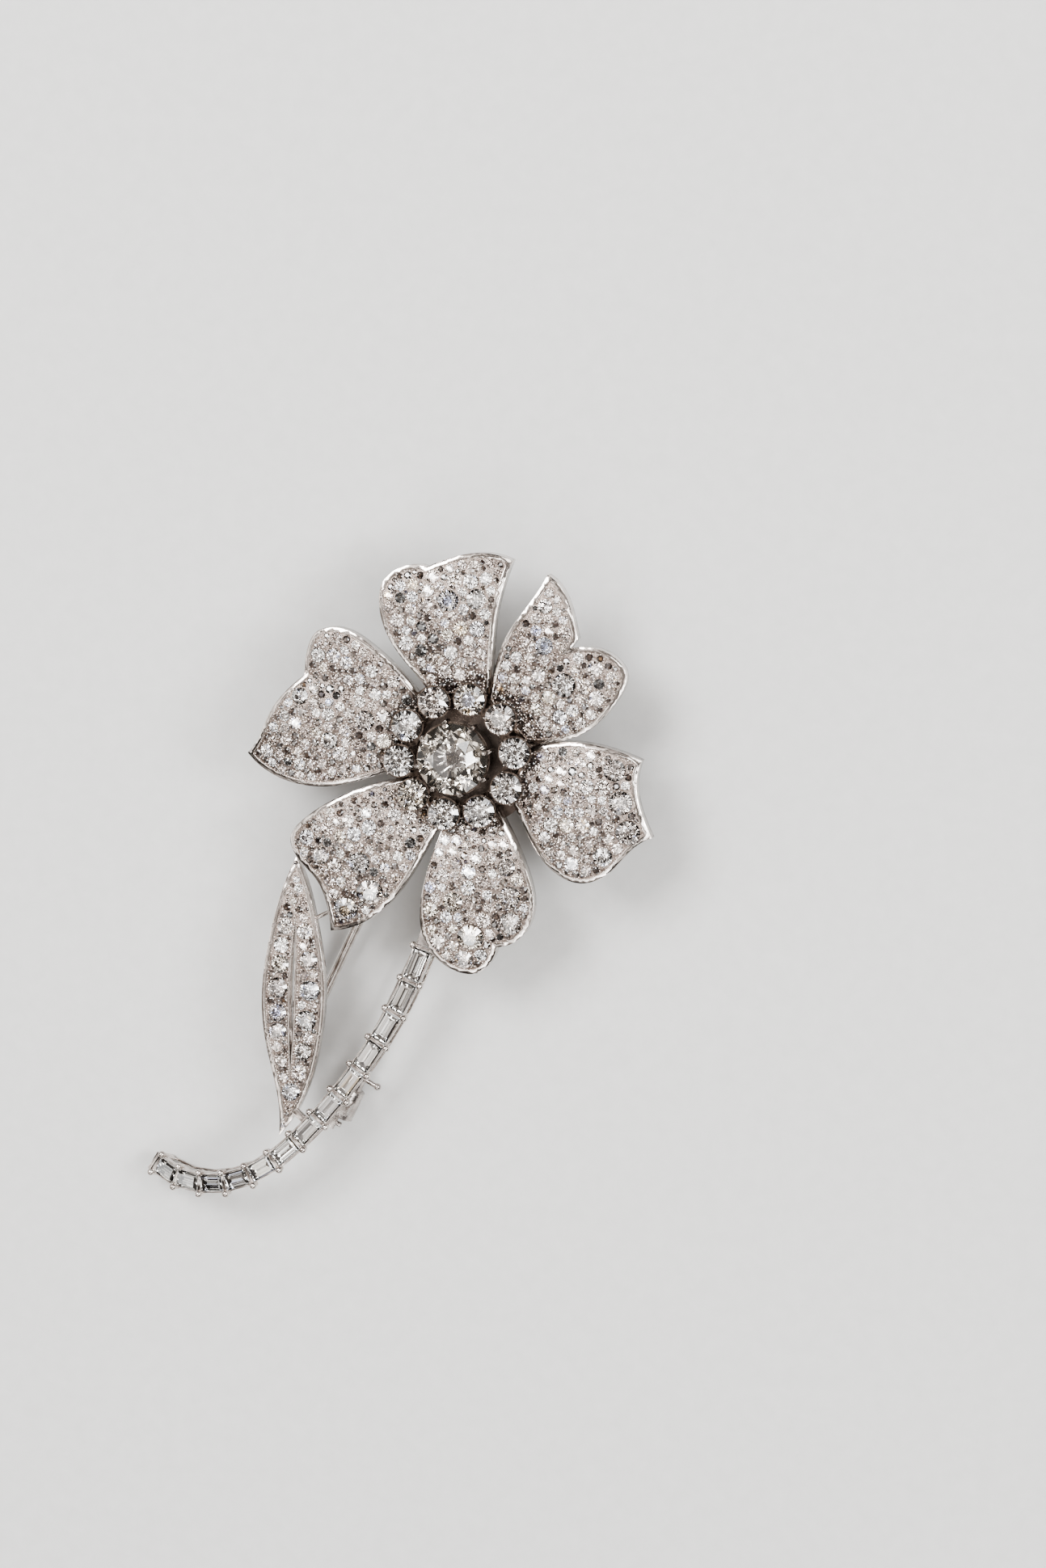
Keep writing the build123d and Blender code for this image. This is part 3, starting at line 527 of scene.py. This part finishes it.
def seed_stones(node, seats):
    """The smallest stones of a plate, fitted into the largest gaps that the others leave."""
    places, ways, border = plate_top(node, seats)
    middles = np.array([place for place, _, _ in seats])
    reach = np.array([radius for _, radius, _ in seats])
    room = (np.linalg.norm(places[:, None] - middles[None], axis=2) - reach).min(1)
    if len(border):
        edge = np.linalg.norm(places[:, None] - border[None], axis=2).min(1)
        room = np.minimum(room, edge)
    found = []
    while room.max() - SEED_GAP > SEED_SMALL:
        best = room.argmax()
        radius = min(room[best] - SEED_GAP, SEED_LARGE)
        found.append((places[best], radius, ways[best]))
        room = np.minimum(room, np.linalg.norm(places - places[best], axis=1) - radius)
    return found


pave_diamond = diamond(
    "pave diamonds", (0.99, 0.97, 0.95), (0.60, 0.54, 0.50), (0.28, 0.24, 0.22), 1.0
)
single_cut = cut_round("single-cut stone", 0.52, 0.36, 0.76, 0.84, 0.10, 0)
old_cut = cut_round("old-cut stone", 0.50, 0.38, 0.75, 0.84, 0.12, 0.30)
set_stones = stone_setting_tree()
LEAN = 0.10
OLD_CUT_FROM = 0.95 * MM
pave_seats = {}
for seed, node in enumerate([f"petal_{i}_stones" for i in range(1, 7)] + ["leaf_stones"]):
    pave_seats[node] = stone_seats(node)
    pave_seats[node] += seed_stones(node.replace("stones", "plate"), pave_seats[node])
    if node == "leaf_stones":
        # The rims meet at the leaf's foot, and the metal there is wide enough to be set too.
        pave_seats[node] += seed_stones("leaf_rim", pave_seats[node])
    stones = seat_points("cut_" + node, pave_seats[node], seed, LEAN)
    run_tree(stones, set_stones, {
        "Small stone": single_cut, "Large stone": old_cut, "Large from": OLD_CUT_FROM,
        "Diamond": pave_diamond,
    }, pave_diamond)
    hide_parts(node)
    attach(stones, "brooch")


# ---------------------------------------------------------------- grains
# Small beads of platinum raised from the plate with a graver and pushed over the edges
# of the stones. They fill the corners between the stones and hold them down.
GRAINS_TRIED = 40 / MM ** 2
GRAIN_SIZES = (0.75, 1.15)


def grain_tree():
    """Scatters grains over the outward faces of a plate, in the corners that the stones leave."""
    tree, given, made = tree_with("raise grains between the stones", [
        ("Seats", "NodeSocketObject", None),
        ("Spacing", "NodeSocketFloat", 0.27 * MM),
        ("Grain radius", "NodeSocketFloat", 0.13 * MM),
        ("Overlap", "NodeSocketFloat", 0.10 * MM),
        ("Seed", "NodeSocketInt", 0),
        ("Metal", "NodeSocketMaterial", None),
    ])
    up = tree.nodes.new("ShaderNodeSeparateXYZ")
    normal = tree.nodes.new("GeometryNodeInputNormal")
    wire(tree, normal.outputs[0], up.inputs[0])
    outward = math_node(tree, "GREATER_THAN", up.outputs["Z"], FACES_OUT)
    scatter = tree.nodes.new("GeometryNodeDistributePointsOnFaces")
    scatter.distribute_method = "POISSON"
    wire(tree, given.outputs["Geometry"], scatter.inputs["Mesh"])
    wire(tree, outward, scatter.inputs["Selection"])
    wire(tree, given.outputs["Spacing"], scatter.inputs["Distance Min"])
    scatter.inputs["Density Max"].default_value = GRAINS_TRIED
    wire(tree, given.outputs["Seed"], scatter.inputs["Seed"])
    seats = tree.nodes.new("GeometryNodeObjectInfo")
    wire(tree, given.outputs["Seats"], seats.inputs["Object"])
    nearest = tree.nodes.new("GeometryNodeSampleNearest")
    wire(tree, seats.outputs["Geometry"], nearest.inputs["Geometry"])
    radius = tree.nodes.new("GeometryNodeSampleIndex")
    wire(tree, seats.outputs["Geometry"], radius.inputs["Geometry"])
    wire(tree, named(tree, "radius"), radius.inputs["Value"])
    wire(tree, nearest.outputs[0], radius.inputs["Index"])
    middle = tree.nodes.new("GeometryNodeSampleIndex")
    middle.data_type = "FLOAT_VECTOR"
    wire(tree, seats.outputs["Geometry"], middle.inputs["Geometry"])
    place = tree.nodes.new("GeometryNodeInputPosition")
    wire(tree, place.outputs[0], middle.inputs["Value"])
    wire(tree, nearest.outputs[0], middle.inputs["Index"])
    away = tree.nodes.new("ShaderNodeVectorMath")
    away.operation = "DISTANCE"
    wire(tree, place.outputs[0], away.inputs[0])
    wire(tree, middle.outputs[0], away.inputs[1])
    edge = math_node(tree, "SUBTRACT", radius.outputs[0], given.outputs["Overlap"])
    covered = math_node(tree, "LESS_THAN", away.outputs["Value"], edge)
    clear = tree.nodes.new("GeometryNodeDeleteGeometry")
    clear.domain = "POINT"
    wire(tree, scatter.outputs["Points"], clear.inputs["Geometry"])
    wire(tree, covered, clear.inputs["Selection"])
    grain = tree.nodes.new("GeometryNodeMeshUVSphere")
    grain.inputs["Segments"].default_value = 8
    grain.inputs["Rings"].default_value = 5
    wire(tree, given.outputs["Grain radius"], grain.inputs["Radius"])
    size = tree.nodes.new("FunctionNodeRandomValue")
    size.inputs[2].default_value = GRAIN_SIZES[0]
    size.inputs[3].default_value = GRAIN_SIZES[1]
    wire(tree, given.outputs["Seed"], size.inputs["Seed"])
    raised = tree.nodes.new("GeometryNodeInstanceOnPoints")
    wire(tree, clear.outputs[0], raised.inputs["Points"])
    wire(tree, grain.outputs["Mesh"], raised.inputs["Instance"])
    wire(tree, scatter.outputs["Rotation"], raised.inputs["Rotation"])
    wire(tree, size.outputs[1], raised.inputs["Scale"])
    whole = tree.nodes.new("GeometryNodeRealizeInstances")
    wire(tree, raised.outputs[0], whole.inputs["Geometry"])
    round_over = tree.nodes.new("GeometryNodeSetShadeSmooth")
    wire(tree, whole.outputs[0], round_over.inputs["Geometry"])
    wear = tree.nodes.new("GeometryNodeSetMaterial")
    wire(tree, round_over.outputs[0], wear.inputs["Geometry"])
    wire(tree, given.outputs["Metal"], wear.inputs["Material"])
    wire(tree, wear.outputs[0], made.inputs["Geometry"])
    return tree


grain_metal = platinum(
    "burnished platinum grains", (0.62, 0.55, 0.50), (0.97, 0.92, 0.87), 0.06, 0.22,
    0.5 * MM, 0.10 * MM, 0.006 * MM,
)
raise_grains = grain_tree()
for seed, node in enumerate([f"petal_{i}" for i in range(1, 7)] + ["leaf"]):
    seats = seat_points("seats", pave_seats[node + "_stones"], seed, 0)
    plate = as_mesh(merged_copy(node + "_plate"), "plate")
    grains = new_piece(node + "_grains", plate, grain_metal)
    values = {"Seats": seats, "Seed": seed, "Metal": grain_metal}
    run_tree(grains, raise_grains, values, grain_metal)
    bpy.data.objects.remove(seats)
    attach(grains, "brooch")


# ---------------------------------------------------------------- centre stone and its ring
# One large old-cut diamond, faintly champagne, stands in a tall collet with eight claws.
# Ten smaller old cuts stand round it, each in its own collet with four claws.
ring_diamond = diamond(
    "ring diamonds", (0.99, 0.97, 0.95), (0.85, 0.80, 0.76), (0.50, 0.44, 0.40), 0.99
)
champagne_diamond = diamond(
    "champagne centre diamond", (1.0, 0.95, 0.87), (0.98, 0.90, 0.78), (0.62, 0.53, 0.43), 0.975
)
ring_cut = cut_round("ring stone cut", 0.48, 0.38, 0.74, 0.84, 0.13, 0.32)
centre_cut = cut_round("centre stone cut", 0.50, 0.38, 0.76, 0.85, 0.20, 0.55)
RING_LEAN = 0.03
LARGE_STONE_SEED = 40
for node, cut, material, slot, lean in (
    ("ring_stones", ring_cut, ring_diamond, "diamond", RING_LEAN),
    ("centre_stone", centre_cut, champagne_diamond, "centre_diamond", 0.0),
):
    stones = seat_points("cut_" + node, stone_seats(node), LARGE_STONE_SEED, lean)
    values = {"Small stone": cut, "Large stone": cut, "Diamond": material}
    run_tree(stones, set_stones, values, material)
    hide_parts(node)
    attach(stones, "brooch")
# The collets and the gallery are painted nearly black-brown: painted shade under and between the
# stones.
collet_metal_painted_shade = platinum(
    "scraped platinum collets, painted shade", (0.07, 0.052, 0.042), (0.25, 0.205, 0.175), 0.20, 0.42,
    0.6 * MM, 0.12 * MM, 0.01 * MM,
)
claw_metal = platinum(
    "worn platinum claws", (0.36, 0.31, 0.28), (0.72, 0.66, 0.61), 0.10, 0.28,
    0.5 * MM, 0.10 * MM, 0.006 * MM,
)

# Long wear has thinned each claw all round.
CLAW_SLIM = 0.62
for node in ("centre_claws", "ring_claws"):
    work = merged_copy(node)
    for points in list(solids_in(work)):
        middle = points.mean(0)
        along = np.linalg.svd(points - middle, full_matrices=False)[2][0]
        inside = {tuple(point) for point in points}
        for vertex in work.verts:
            if tuple(vertex.co) in inside:
                off = np.array(vertex.co) - middle
                run = along * (off @ along)
                vertex.co = Vector(middle + run + (off - run) * CLAW_SLIM)
    mesh = as_mesh(work, node)
    mesh.shade_smooth()
    claws = new_piece("worn_" + node, mesh, claw_metal)
    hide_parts(node)
    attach(claws, "brooch")
for node in ("centre_collet", "ring_collets", "ring_gallery"):
    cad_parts[node].material_slots[0].material = collet_metal_painted_shade

# The hub behind them all is a disc left as filed, with two posts to each petal. Both are painted
# very dark: painted shade under the ring stones and the petals.
hub_metal_painted_shade = platinum(
    "filed platinum hub, painted shade", (0.11, 0.09, 0.078), (0.21, 0.18, 0.16), 0.22, 0.42,
    2.5 * MM, 0.15 * MM, 0.008 * MM,
)
for node in ("flower_hub", "petal_posts"):
    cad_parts[node].material_slots[0].material = hub_metal_painted_shade


# ---------------------------------------------------------------- stem stones
# Thirteen long step-cut diamonds, each cut a little shorter than the last, lie end to
# end between the stem's rails. Their steps run parallel to their edges.
# Each step of the cut: its height over the girdle and its inset from the edge, in mm.
STEPS = [
    (0.220, 0.360), (0.135, 0.165), (0.020, 0.000), (-0.030, 0.000),
    (-0.330, 0.210), (-0.640, 0.500), (-0.940, 0.860),
]
TABLE_RISE = STEPS[0][0] * MM


def step_cut(work, place, across, along, out, wide, long):
    """One step-cut stone built into a mesh, from its table down to its keel."""
    loops = []
    for height, inset in STEPS:
        x, y = wide / 2 - inset * MM, long / 2 - inset * MM
        level = place + out * (height * MM)
        loops.append([
            work.verts.new(level + across * (x * sx) + along * (y * sy))
            for sx, sy in ((1, 1), (-1, 1), (-1, -1), (1, -1))
        ])
    work.faces.new(loops[0])
    work.faces.new(reversed(loops[-1]))
    for upper, lower in zip(loops, loops[1:]):
        for i in range(4):
            work.faces.new((upper[i], lower[i], lower[(i + 1) % 4], upper[(i + 1) % 4]))


bars = merged_copy("stem_baguettes")
work = bmesh.new()
groups = sorted(solids_in(bars), key=lambda group: -group.mean(0)[1])
for points in groups:
    middle = points.mean(0)
    along, across, out = np.linalg.svd(points - middle, full_matrices=False)[2]
    out = out * np.sign(out[2])
    spans = [(points - middle) @ axis for axis in (across, along, out)]
    wide, long = np.ptp(spans[0]), np.ptp(spans[1])
    aside, ahead = ((span.max() + span.min()) / 2 for span in spans[:2])
    girdle = middle + across * aside + along * ahead + out * (spans[2].max() - TABLE_RISE)
    step_cut(work, Vector(girdle), Vector(across), Vector(along), Vector(out), wide, long)
bars.free()
bmesh.ops.recalc_face_normals(work, faces=work.faces)
mesh = as_mesh(work, "cut_stem_baguettes")
BAGUETTE_SEED = 7
BAGUETTE_TINTS = (0.72, 0.18)
draw = np.random.default_rng(BAGUETTE_SEED)
deal_facets(mesh, draw)
tints = BAGUETTE_TINTS[0] + BAGUETTE_TINTS[1] * draw.random(len(groups))
per_stone = np.repeat(tints, len(mesh.vertices) // len(groups))
tint = mesh.attributes.new("tint", "FLOAT", "POINT")
tint.data.foreach_set("value", per_stone.astype(np.float32))
baguette_diamond = diamond(
    "step-cut diamonds", (0.98, 0.975, 0.95), (0.88, 0.87, 0.82), (0.66, 0.64, 0.58), 1.0
)
baguettes = new_piece("cut_stem_baguettes", mesh, baguette_diamond)
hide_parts("stem_baguettes")
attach(baguettes, "brooch")


# ---------------------------------------------------------------- stem metal
# Two bright rails run the length of the stem with a bar between each pair of stones and
# a round bead at each end of it. A second pair of rails behind carries it on short posts.
bar_metal = platinum(
    "polished stem platinum", (0.48, 0.43, 0.40), (0.82, 0.77, 0.73), 0.08, 0.22,
    0.8 * MM, 0.12 * MM, 0.004 * MM,
)
STEM_EDGE = 0.04 * MM
for node in (
    "stem_top_rails", "stem_cross_bars", "stem_under_rails", "stem_posts", "stem_end_cap",
    "leaf_link",
):
    piece = polished(node, STEM_EDGE, bar_metal)
    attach(piece, "brooch")
for node in ("stem_beads", "leaf_strut"):
    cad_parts[node].material_slots[0].material = bar_metal


# ---------------------------------------------------------------- hinge, pin and catches
# Behind the flower a riveted hinge carries a pin with two round prongs, and each prong
# ends in a catch whose inner tube turns with a small knob to lock it.
back_metal = platinum(
    "filed back platinum", (0.42, 0.38, 0.36), (0.70, 0.66, 0.63), 0.16, 0.36,
    1.2 * MM, 0.15 * MM, 0.008 * MM,
)
pin_wire = platinum(
    "drawn pin wire", (0.50, 0.46, 0.43), (0.84, 0.80, 0.77), 0.08, 0.2,
    1.5 * MM, 0.1 * MM, 0.003 * MM,
)
BACK_EDGE = 0.05 * MM
for node, body, metal, slot in (
    ("stem_root", "brooch", back_metal, "back_metal"),
    ("hinge_base", "brooch", back_metal, "back_metal"),
    ("hinge_rivet", "brooch", pin_wire, "pin_metal"),
    ("pin_barrel", "pin_fork", pin_wire, "pin_metal"),
    ("pin_crossbar", "pin_fork", pin_wire, "pin_metal"),
    ("right_catch_housing", "brooch", back_metal, "back_metal"),
    ("right_catch_post", "brooch", back_metal, "back_metal"),
    ("right_catch_rotor", "right_rotor", back_metal, "back_metal"),
    ("left_catch_housing", "brooch", back_metal, "back_metal"),
    ("left_catch_post", "brooch", back_metal, "back_metal"),
    ("left_catch_rotor", "left_rotor", back_metal, "back_metal"),
):
    piece = polished(node, BACK_EDGE, metal)
    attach(piece, body)
for node in ("pin_prong_left", "pin_prong_right"):
    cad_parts[node].material_slots[0].material = pin_wire
for node in ("left_catch_lever", "right_catch_lever"):
    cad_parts[node].material_slots[0].material = back_metal


# ---------------------------------------------------------------- floor and light
# A plain pale table under plain soft studio light: one broad soft light high on the
# left and a smaller one on the right.
FLOOR_HALF = 1.5
floor_mesh = bpy.data.meshes.new("floor")
corners = [(x * FLOOR_HALF, y * FLOOR_HALF, 0) for x, y in ((-1, -1), (1, -1), (1, 1), (-1, 1))]
floor_mesh.from_pydata(corners, [], [(0, 1, 2, 3)])
floor_paint = bpy.data.materials.new("pale table")
tree, shader = paint_box(floor_paint)
paper = fine_noise(tree, 2 * MM)
paint = ramp(tree, paper, [(0.3, (0.70, 0.70, 0.69)), (0.7, (0.74, 0.74, 0.73))])
wire(tree, paint, shader.inputs["Base Color"])
shader.inputs["Roughness"].default_value = 0.8
floor = new_piece("floor", floor_mesh, floor_paint)


def lamp(name, place, size, power):
    """A square soft light that faces the brooch."""
    light = bpy.data.lights.new(name, "AREA")
    light.size = size
    light.energy = power
    piece = bpy.data.objects.new(name, light)
    bpy.context.scene.collection.objects.link(piece)
    place = Vector(place)
    turn = (RING_MIDDLE - place).to_track_quat("-Z", "Y").to_matrix().to_4x4()
    piece.matrix_world = Matrix.Translation(place) @ turn


lamp("broad soft light", (-0.30, 0.40, 0.75), 0.40, 7.0)
lamp("right soft light", (0.60, 0.05, 0.50), 0.22, 2.5)

# The rest of the light is a white studio tent with darker gaps between its panels. A cut
# stone mirrors a different panel in each facet, and that is what makes it flash.
PANELS_ACROSS = 4.5
TENT_STRENGTH = 2.1
BACKDROP = grey(0.60)
world = bpy.data.worlds.new("studio")
bpy.context.scene.world = world
world.use_nodes = True
tree = world.node_tree
way = tree.nodes.new("ShaderNodeTexCoord")
panels = tree.nodes.new("ShaderNodeTexVoronoi")
panels.inputs["Scale"].default_value = PANELS_ACROSS
wire(tree, way.outputs["Generated"], panels.inputs["Vector"])
shade = ramp(tree, panels.outputs["Color"], [
    (0.0, (0.03, 0.026, 0.024)), (0.40, (0.15, 0.135, 0.125)), (0.58, (0.50, 0.47, 0.45)),
    (0.70, (1.0, 0.97, 0.94)), (0.82, grey(3.2)),
], "CONSTANT")
height = tree.nodes.new("ShaderNodeSeparateXYZ")
wire(tree, way.outputs["Generated"], height.inputs[0])
fall = ramp(tree, height.outputs["Z"], [(0.0, grey(0.10)), (0.45, grey(0.35)), (0.8, grey(1.0))])
lit = tree.nodes.new("ShaderNodeMix")
lit.data_type = "RGBA"
lit.blend_type = "MULTIPLY"
lit.inputs["Factor"].default_value = 1.0
wire(tree, shade, lit.inputs[6])
wire(tree, fall, lit.inputs[7])
tent = tree.nodes["Background"]
tent.inputs["Strength"].default_value = TENT_STRENGTH
wire(tree, lit.outputs[2], tent.inputs["Color"])
plain = tree.nodes.new("ShaderNodeBackground")
plain.inputs["Color"].default_value = (*BACKDROP, 1.0)
ray = tree.nodes.new("ShaderNodeLightPath")
seen = tree.nodes.new("ShaderNodeMixShader")
wire(tree, ray.outputs["Is Camera Ray"], seen.inputs["Fac"])
wire(tree, tent.outputs[0], seen.inputs[1])
wire(tree, plain.outputs[0], seen.inputs[2])
wire(tree, seen.outputs[0], tree.nodes["World Output"].inputs["Surface"])
